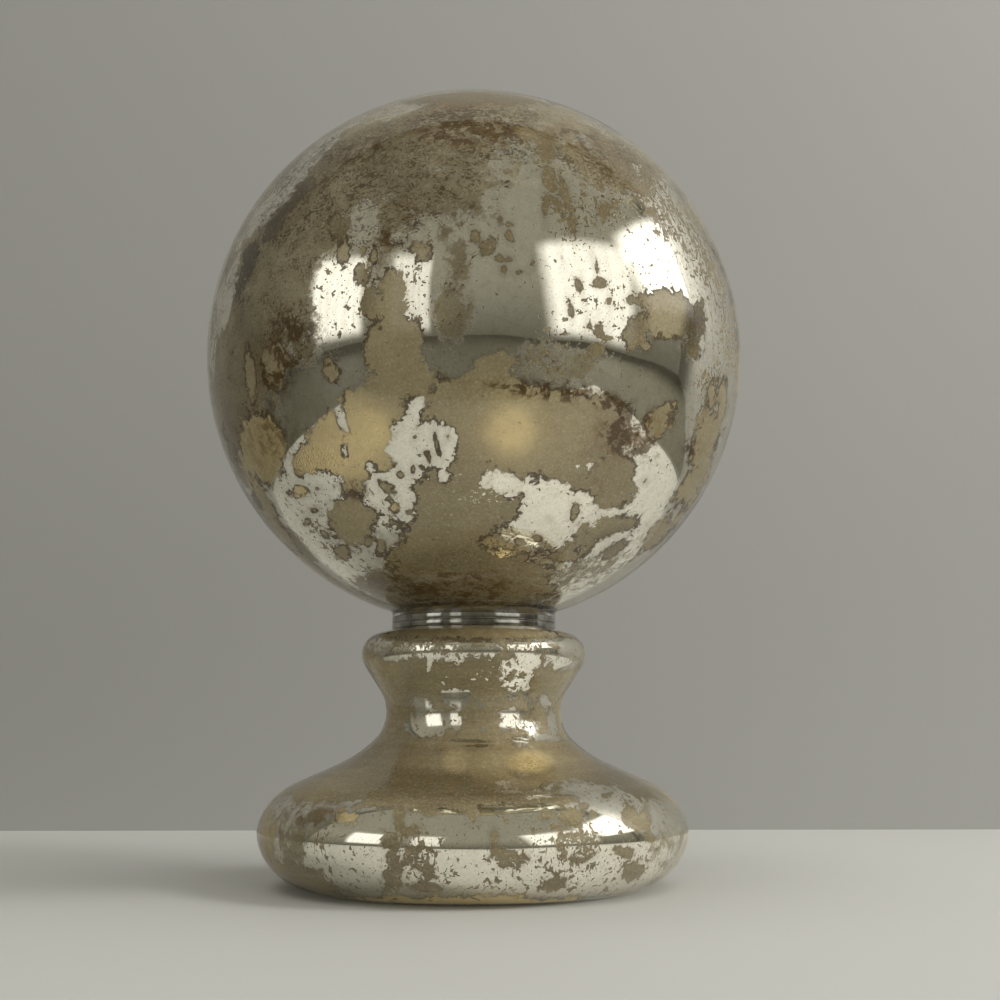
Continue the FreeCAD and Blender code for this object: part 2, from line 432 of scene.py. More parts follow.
def noise(tree, place, size, detail=2.0, roughness=0.5, distortion=0.0):
    # cloudy noise whose lumps are about size millimetres across
    node = tree.nodes.new("ShaderNodeTexNoise")
    feed(tree, node.inputs["Vector"], place)
    node.inputs["Scale"].default_value = 1 / (size * mm)
    node.inputs["Detail"].default_value = detail
    node.inputs["Roughness"].default_value = roughness
    node.inputs["Distortion"].default_value = distortion
    return node.outputs[0]


def attribute(tree, name):
    node = tree.nodes.new("ShaderNodeAttribute")
    node.attribute_name = name
    return node.outputs["Fac"]


def stretched(tree, place, scale, shift=(0, 0, 0)):
    node = tree.nodes.new("ShaderNodeMapping")
    feed(tree, node.inputs["Vector"], place)
    node.inputs["Scale"].default_value = scale
    node.inputs["Location"].default_value = shift
    return node.outputs[0]


def objectPlace(tree):
    return tree.nodes.new("ShaderNodeTexCoord").outputs["Object"]


glass = {
    "tint": (0.99, 0.99, 0.975, 1),
    "bendOfLight": 1.5,
}


def makeGlassFinish():
    material, tree, shader = newFinish("blownGlass")
    shader.inputs["Base Color"].default_value = glass["tint"]
    shader.inputs["Transmission Weight"].default_value = 1
    shader.inputs["Roughness"].default_value = 0
    shader.inputs["IOR"].default_value = glass["bendOfLight"]
    path = tree.nodes.new("ShaderNodeLightPath")
    lampRay = sums(tree, "MAXIMUM", path.outputs["Is Shadow Ray"], path.outputs["Is Diffuse Ray"])
    clear = tree.nodes.new("ShaderNodeBsdfTransparent")
    clear.inputs["Color"].default_value = glass["tint"]
    mix = tree.nodes.new("ShaderNodeMixShader")
    feed(tree, mix.inputs[0], lampRay)
    feed(tree, mix.inputs[1], shader.outputs[0])
    feed(tree, mix.inputs[2], clear.outputs[0])
    feed(tree, tree.nodes["Material Output"].inputs["Surface"], mix.outputs[0])
    return material


glassFinish = makeGlassFinish()

silver = {
    "colour": (0.95, 0.925, 0.82, 1),
    "tarnished": (0.225, 0.185, 0.105, 1),
    "veil": (0.41, 0.36, 0.235, 1),
    "haze": 0.30,
    "roughness": 0.03,
    "tarnishedRoughness": 0.30,
    "tarnishedMetal": 0.55,
}
lacquer = {
    "light": (0.472, 0.41, 0.268, 1),
    "dark": (0.075, 0.061, 0.037, 1),
    # gold tone of the lacquer, also the colour of its painted highlights
    "giltAndHighlight": (0.98, 0.79, 0.42, 1),
    "amber": (0.23, 0.13, 0.032, 1),
    "edge": (0.066, 0.037, 0.011, 1),
    # the colour of painted glints: bright specks that stand for flakes catching the light
    "paintedGlint": (1.0, 0.91, 0.68, 1),
    "roughness": 0.42,
    "metal": 0.35,
    "foilRoughness": 0.14,
    "ownGloss": 0.1,  # low, because it lies against the glass with no air between
}


filmTextures = {
    # size of the lumps in millimetres, detail, roughness, distortion
    "broad": (8.5, 3, 0.6, 0.3),
    "fine": (2.4, 4, 0.6, 0.6),
    "cluster": (17, 3, 0.5),
    "blobs": (2.2, 2, 0.5, 0.45),
    "dust": (1.0, 1, 0.5, 0.3),
    "runs": (1.5, 3, 0.6, 0.6),
    "bits": (1.9, 3, 0.6, 1.8),
    "edgePlaces": (13, 3, 0.6),
    "worms": (4.3, 4, 0.62, 1.5),
    "wormClusters": (8.0, 3, 0.6),
    "curls": (2.7, 2, 0.5, 2.1),
    "blotches": (12, 5, 0.62, 0.5),
    "cloud": (22, 4, 0.6),
    "grain": (0.8, 3, 0.72),
    "pores": (1.5, 2, 0.6),
    "stains": (4.2, 5, 0.66, 0.6),
    "waves": (42, 1, 0.4),
}
filmShifts = {
    # how a texture is stretched, and how far it is moved so that it doesn't repeat another
    "dust": ((1, 1, 1), (0.3, 0.1, 0.7)),
    "runs": ((1, 1, 0.28), (0.2, 0.9, 0.4)),
    "bits": ((1, 1, 1.25), (0.7, 0.4, 0.2)),
    "curls": ((1, 1, 1.25), (0.15, 0.55, 0.35)),
}


def makeFilmFinish(name, edgeStrength, lineStrength, streaks, easedUnder):
    # streaks: how many times wider than high the clouds in the lacquer lie; drawn wide they are partly
    # painted reflection, like the room mirrored in wavy glass;
    # easedUnder: millimetres by which the shading is eased between the heights in film
    material, tree, shader = newFinish(name)
    place = objectPlace(tree)
    layers = ("wear", "ragged", "speck", "remnant", "mottle", "amber", "giltAndHighlight", "foil", "dull", "toneAndPaintedLight")
    wear, ragged, speck, remnant, mottle, amber, giltAndHighlight, foil, dull, toneAndPaintedLight = (
        attribute(tree, layer) for layer in layers
    )

    def scaled(first, scale, offset):
        return sums(tree, "MULTIPLY_ADD", first, scale, offset)

    def minus(first, second):
        return sums(tree, "SUBTRACT", first, second)

    def times(first, second):
        return sums(tree, "MULTIPLY", first, second)

    def most(first, second):
        return sums(tree, "MAXIMUM", first, second)

    # worn patches: wear is the distance in millimetres inside a patch, made ragged by two sizes of noise
    broad = noise(tree, place, *filmTextures["broad"])
    fine = noise(tree, place, *filmTextures["fine"])
    rough = scaled(minus(broad, 0.5), 6.0, times(minus(fine, 0.5), 5.5))
    inside = sums(tree, "MULTIPLY_ADD", rough, ragged, wear)
    patch = ramp(tree, inside, -0.06, 0.07)

    # flecks where the film has come away in small pieces: blobs, dust, and runs that follow the drips
    cluster = noise(tree, place, *filmTextures["cluster"])
    crowd = sums(tree, "ADD", speck, times(minus(cluster, 0.5), 1.1), clamp=True)
    blobs = noise(tree, place, *filmTextures["blobs"])
    blobDepth = minus(blobs, scaled(crowd, -0.25, 0.785))
    dust = noise(tree, stretched(tree, place, *filmShifts["dust"]), *filmTextures["dust"])
    dustDepth = minus(dust, scaled(crowd, -0.21, 0.83))
    runs = noise(tree, stretched(tree, place, *filmShifts["runs"]), *filmTextures["runs"])
    runDepth = minus(runs, scaled(crowd, -0.42, 0.93))
    fleckDepth = most(blobDepth, runDepth)
    fleck = most(ramp(tree, fleckDepth, -0.004, 0.006), ramp(tree, dustDepth, -0.01, 0.012))
    worn = most(patch, fleck)

    # bits of silver left in the worn patches
    bits = noise(tree, stretched(tree, place, *filmShifts["bits"]), *filmTextures["bits"])
    left = ramp(tree, minus(bits, scaled(remnant, -0.29, 0.83)), -0.004, 0.006)
    worn = times(worn, minus(1.0, left))

    # dark edge lines, stronger in some places than in others, and stains beside them
    edgePlaces = ramp(tree, noise(tree, place, *filmTextures["edgePlaces"]), 0.36, 0.52)
    depth = sums(tree, "DIVIDE", inside, scaled(ragged, 1.1, 0.55))
    rim = times(ramp(tree, depth, -0.42, -0.14), ramp(tree, depth, 0.55, 0.12))
    fleckRim = times(ramp(tree, fleckDepth, -0.004, 0.006), ramp(tree, fleckDepth, 0.040, 0.012))
    edgeShare = scaled(ramp(tree, toneAndPaintedLight, 0.14, 0.55), 0.72 * edgeStrength, 0.28 * edgeStrength)
    rim = times(most(times(rim, edgePlaces), times(fleckRim, minus(1.0, patch))), edgeShare)
    dustMark = times(ramp(tree, dustDepth, -0.01, 0.012), minus(1.0, patch))
    stain = times(ramp(tree, inside, -2.6, -0.2), ramp(tree, inside, 1.8, 0.2))

    # wormy brown lines and dots in the tarnish
    worms = noise(tree, place, *filmTextures["worms"])
    wormClusters = noise(tree, place, *filmTextures["wormClusters"])
    wormPlaces = ramp(tree, scaled(mottle, 0.75, times(wormClusters, 1.7)), 1.02, 1.66)
    thickness = times(wormPlaces, 0.035)
    threads = ramp(tree, minus(thickness, sums(tree, "ABSOLUTE", minus(worms, 0.5))), 0.0, 0.006)
    curls = noise(tree, stretched(tree, place, *filmShifts["curls"]), *filmTextures["curls"])
    curl = ramp(tree, minus(curls, scaled(wormPlaces, -0.15, 0.715)), -0.004, 0.006)
    worm = most(times(threads, 0.6), curl)
    dots = tree.nodes.new("ShaderNodeTexVoronoi")
    feed(tree, dots.inputs["Vector"], place)
    dots.inputs["Scale"].default_value = 1 / (2.0 * mm)
    dotReach = times(ramp(tree, scaled(mottle, 0.45, times(cluster, 1.2)), 0.70, 1.05), 0.24)
    dot = ramp(tree, minus(dotReach, dots.outputs["Distance"]), 0.0, 0.05)
    lineShade = scaled(wormClusters, 1.1, 0.30)
    line = times(times(most(worm, dot), times(lineShade, lineStrength)), minus(1.0, times(patch, 0.7)))

    # tarnish lies in blotches
    blotches = noise(tree, place, *filmTextures["blotches"])
    spread = scaled(minus(blotches, 0.5), 1.5, times(minus(fine, 0.5), 0.8))
    tarnish = ramp(tree, sums(tree, "ADD", spread, dull), 0.27, 0.62)
    cloud = noise(tree, stretched(tree, place, (1, 1, streaks)), *filmTextures["cloud"])
    grain = noise(tree, place, *filmTextures["grain"])
    pores = noise(tree, place, *filmTextures["pores"])

    # colour of the lacquer behind; its tone attribute is partly painted light: raised for painted highlights
    # and lowered for painted dark reflection
    paintTone = scaled(minus(cloud, 0.5), 0.55, toneAndPaintedLight)
    paintTone = sums(tree, "ADD", paintTone, times(minus(grain, 0.5), 1.0), clamp=True)
    paint = blend(tree, paintTone, lacquer["dark"], lacquer["light"])
    # gold tone, and painted highlights where the same attribute is raised over a soft glow of light
    giltAndHighlightShare = times(giltAndHighlight, ramp(tree, scaled(grain, 0.8, blotches), 0.30, 0.80))
    paint = blend(tree, giltAndHighlightShare, paint, lacquer["giltAndHighlight"])
    stains = noise(tree, place, *filmTextures["stains"])
    stainPlaces = ramp(tree, stains, 0.40, 0.62)
    deepStain = times(ramp(tree, scaled(amber, 0.16, stains), 0.60, 0.68), ramp(tree, amber, 0.45, 0.8))
    paint = blend(tree, times(amber, stainPlaces), paint, lacquer["amber"])
    paint = blend(tree, times(deepStain, 0.75), paint, lacquer["edge"])
    # painted glints: bright specks in the lacquer's colour, more of them where it is gold
    paintedGlints = times(ramp(tree, grain, 0.57, 0.72), scaled(giltAndHighlight, 0.55, 0.15))
    paint = blend(tree, paintedGlints, paint, lacquer["paintedGlint"])
    paint = blend(tree, times(ramp(tree, pores, 0.69, 0.78), 0.55), paint, lacquer["edge"])

    # colour of the silver film
    tarnishTone = ramp(tree, scaled(minus(grain, 0.5), 0.9, cloud), 0.30, 0.72)
    tarnishTone = blend(tree, tarnishTone, silver["tarnished"], silver["veil"])
    haze = times(ramp(tree, grain, 0.50, 0.72), silver["haze"])
    aged = blend(tree, haze, silver["colour"], silver["veil"])
    aged = blend(tree, times(tarnish, 0.94), aged, tarnishTone)
    aged = blend(tree, times(times(amber, 0.8), stainPlaces), aged, lacquer["amber"])
    aged = blend(tree, times(deepStain, 0.6), aged, lacquer["edge"])
    aged = blend(tree, times(times(tarnish, wormPlaces), 0.15), aged, lacquer["edge"])
    aged = blend(tree, times(stain, scaled(amber, 0.6, 0.08)), aged, lacquer["amber"])

    shader.inputs["Specular IOR Level"].default_value = lacquer["ownGloss"]
    colour = blend(tree, worn, aged, paint)
    colour = blend(tree, times(line, 0.8), colour, lacquer["edge"])
    colour = blend(tree, times(most(rim, times(dustMark, edgeStrength)), 0.85), colour, lacquer["edge"])
    feed(tree, shader.inputs["Base Color"], colour)

    # a mirror where the film is whole, satin where it is tarnished, metallic paint where it is gone
    filmMetal = scaled(tarnish, silver["tarnishedMetal"] - 1, 1.0)
    paintMetal = scaled(foil, 0.9, scaled(giltAndHighlight, -0.25, lacquer["metal"]))
    feed(tree, shader.inputs["Metallic"], mixNumber(tree, worn, filmMetal, paintMetal))
    gloss = mixNumber(tree, tarnish, silver["roughness"], silver["tarnishedRoughness"])
    gloss = mixNumber(tree, worn, gloss, scaled(grain, 0.16, lacquer["roughness"] - 0.08))
    gloss = mixNumber(tree, times(foil, worn), gloss, lacquer["foilRoughness"])
    gloss = mixNumber(tree, most(line, rim), gloss, 0.5)
    feed(tree, shader.inputs["Roughness"], gloss)

    # the slow waves of hand-blown glass, the step at a patch and the grain of the lacquer
    waves = noise(tree, place, *filmTextures["waves"])
    height = scaled(times(grain, worn), scaled(foil, 0.12, 0.05), times(waves, 0.55))
    height = scaled(worn, -film["step"], height)
    if easedUnder:
        # under the bulge the film is shaded as if it lay less steeply than the outside
        upward = tree.nodes.new("ShaderNodeSeparateXYZ")
        feed(tree, upward.inputs[0], place)
        height = scaled(ramp(tree, upward.outputs["Z"], *film["easedHeights"]), -easedUnder, height)
    bump = tree.nodes.new("ShaderNodeBump")
    bump.inputs["Strength"].default_value = 1.0
    bump.inputs["Distance"].default_value = mm
    feed(tree, bump.inputs["Height"], height)
    feed(tree, shader.inputs["Normal"], bump.outputs[0])
    return material


ballFilmFinish = makeFilmFinish(
    "agedSilverBall", edgeStrength=0.95, lineStrength=1.0, streaks=1.0, easedUnder=0
)
pedestalFilmFinish = makeFilmFinish(
    "agedSilverPedestal", edgeStrength=0.3, lineStrength=0.8, streaks=12.0, easedUnder=3.7
)


def makeCloudyFinish(name, look):
    # two colours in clouds, with uneven gloss and a fine grain, for the collar and the hidden pieces
    material, tree, shader = newFinish(name)
    place = stretched(tree, objectPlace(tree), (1, 1, look["lines"]))
    cloud = noise(tree, place, look["cloudSize"], 4, 0.6)
    grain = noise(tree, place, look["grainSize"], 3, 0.6)
    colour = blend(tree, ramp(tree, cloud, 0.3, 0.7), look["colour"], look["second"])
    feed(tree, shader.inputs["Base Color"], colour)
    shader.inputs["Metallic"].default_value = look["metallic"]
    low, high = look["roughness"]
    feed(tree, shader.inputs["Roughness"], mixNumber(tree, ramp(tree, grain, 0.3, 0.7), low, high))
    bump = tree.nodes.new("ShaderNodeBump")
    bump.inputs["Strength"].default_value = 1.0
    bump.inputs["Distance"].default_value = look["grainHeight"] * mm
    feed(tree, bump.inputs["Height"], grain)
    feed(tree, shader.inputs["Normal"], bump.outputs[0])
    return material


# Wear of the silver. Each stroke is an ellipse in the picture: column, row, half width, half height and,
# where it leans, its tilt in degrees clockwise. The groups of worn and kept strokes work in order.

wearing = {
    "pixelsPerMillimetre": 2.65,
    "farOutside": -30.0,  # pixels
    "facingReach": (0.02, 0.16),  # cosines between which the picture's wear gives way to the hidden one
    "softShare": 0.55,  # of a tone spot's half width, over which it fades
    "deepest": 12,  # millimetres inside or outside a patch
    # how ragged an edge is: a share of the stroke's half width, within limits
    "raggedShare": 0.36,
    "raggedLeast": 0.22,
    "raggedMost": 1.5,
    "raggedFar": 1.6,
    "raggedBehind": 1.4,
    # patches on the side that the picture doesn't show
    "hiddenPatches": 70,
    "hiddenPatchlets": 26,
    "hiddenDepth": 9,
    "hiddenTones": 60,
}


def smooth(value, low, high):
    t = np.clip((value - low) / (high - low), 0, 1)
    return t * t * (3 - 2 * t)


def strokeReach(columns, rows, column, row, halfWidth, halfHeight, tilt=0):
    # distance inside the ellipse in pixels, negative outside
    turn = math.radians(tilt)
    across = (columns - column) * math.cos(turn) + (rows - row) * math.sin(turn)
    along = -(columns - column) * math.sin(turn) + (rows - row) * math.cos(turn)
    ratio = np.sqrt((across / halfWidth) ** 2 + (along / halfHeight) ** 2)
    return (1 - ratio) * min(halfWidth, halfHeight) * np.where(ratio < 1, 1.0, 1.25)


def seenPlaces(mesh, wall):
    # where each film point shows in the picture, through the bent light in the glass,
    # and how squarely it faces the camera
    count = len(mesh.vertices)
    places, normals = np.zeros(count * 3), np.zeros(count * 3)
    mesh.vertices.foreach_get("co", places)
    mesh.vertices.foreach_get("normal", normals)
    places, normals = places.reshape(-1, 3), normals.reshape(-1, 3)
    eye = np.array(shot["place"])
    outer = places + normals * wall * mm
    for _ in range(2):
        sight = outer - eye
        sight /= np.linalg.norm(sight, axis=1)[:, None]
        facing = -(sight * normals).sum(1)
        sideways = sight + normals * facing[:, None]
        spread = np.linalg.norm(sideways, axis=1)
        bent = np.clip(spread / glass["bendOfLight"], 0, 0.99)
        shift = (bent / np.sqrt(1 - bent**2) / np.maximum(spread, 1e-6))[:, None] * sideways
        outer = places + wall * mm * (normals - np.where(facing[:, None] > 0, shift, 0))
    ahead, right, up = cameraAxes()
    away = outer - eye
    depth = away @ ahead
    half = shot["picturePixels"] / 2
    columns = half + shot["focalPixels"] * (away @ right) / depth
    rows = half - shot["focalPixels"] * (away @ up) / depth
    return places / mm, columns, rows, smooth(facing, *wearing["facingReach"])


def waveNoise(places, size, seed, waves=14, calm=6):
    # smooth noise from a few plane waves, about 0 on average and seldom past 1
    draw = np.random.default_rng(seed)
    total = np.zeros(len(places))
    for _ in range(waves):
        way = draw.normal(size=3)
        way *= draw.uniform(0.7, 1.6) * math.tau / (size * np.linalg.norm(way))
        total += np.sin(places @ way + draw.uniform(0, math.tau))
    return total / calm


def writeAttribute(mesh, name, values):
    layer = mesh.attributes.new(name, "FLOAT", "POINT")
    layer.data.foreach_set("value", values.astype(np.float32))


def wearFilm(piece, look, wall):
    mesh = piece.data
    places, columns, rows, front = seenPlaces(mesh, wall)
    perMillimetre, deepest = wearing["pixelsPerMillimetre"], wearing["deepest"]
    reach = np.full(len(places), wearing["farOutside"])
    ragged = np.full(len(places), wearing["raggedFar"])
    for kind, strokes in look["strokes"]:
        for stroke in strokes:
            inside = strokeReach(columns, rows, *stroke) * (1 if kind == "worn" else -1)
            wins = inside > reach if kind == "worn" else inside < reach
            loose = min(stroke[2:4]) / perMillimetre * wearing["raggedShare"]
            loose = min(max(loose, wearing["raggedLeast"]), wearing["raggedMost"])
            reach = np.where(wins, inside, reach)
            ragged = np.where(wins, loose, ragged)
    patches = waveNoise(places, wearing["hiddenPatches"], 11)
    patches += 0.6 * waveNoise(places, wearing["hiddenPatchlets"], 12)
    behind = (patches - look["hiddenKept"]) * wearing["hiddenDepth"]
    wear = behind + (reach / perMillimetre - behind) * front
    writeAttribute(mesh, "wear", np.clip(wear, -deepest, deepest))
    writeAttribute(mesh, "ragged", wearing["raggedBehind"] + (ragged - wearing["raggedBehind"]) * front)
    soft = wearing["softShare"]
    for index, (name, (level, behindLevel, spots)) in enumerate(look["tones"].items()):
        tone = np.full(len(places), float(level))
        for strength, *spot in spots:
            share = smooth(strokeReach(columns, rows, *spot) / min(spot[2:4]), -soft, soft)
            tone = tone + (strength - tone) * share
        hidden = behindLevel + 0.45 * waveNoise(places, wearing["hiddenTones"], 20 + index)
        hidden = np.clip(hidden, 0, 1)
        writeAttribute(mesh, name, np.clip(hidden + (tone - hidden) * front, 0, 1))


collar = {
    "hole": 25.95,
    "radius": 30.75,
    "grooveRadius": 29.75,
    "edge": 0.25,
    "edgeGap": 0.07,
    "lowerFoot": 92.7,
    "lowerTop": 94.7,
    "grooveTop": 95.0,
    "upperTop": 97.2,
    "turns": 256,
}

# Ball

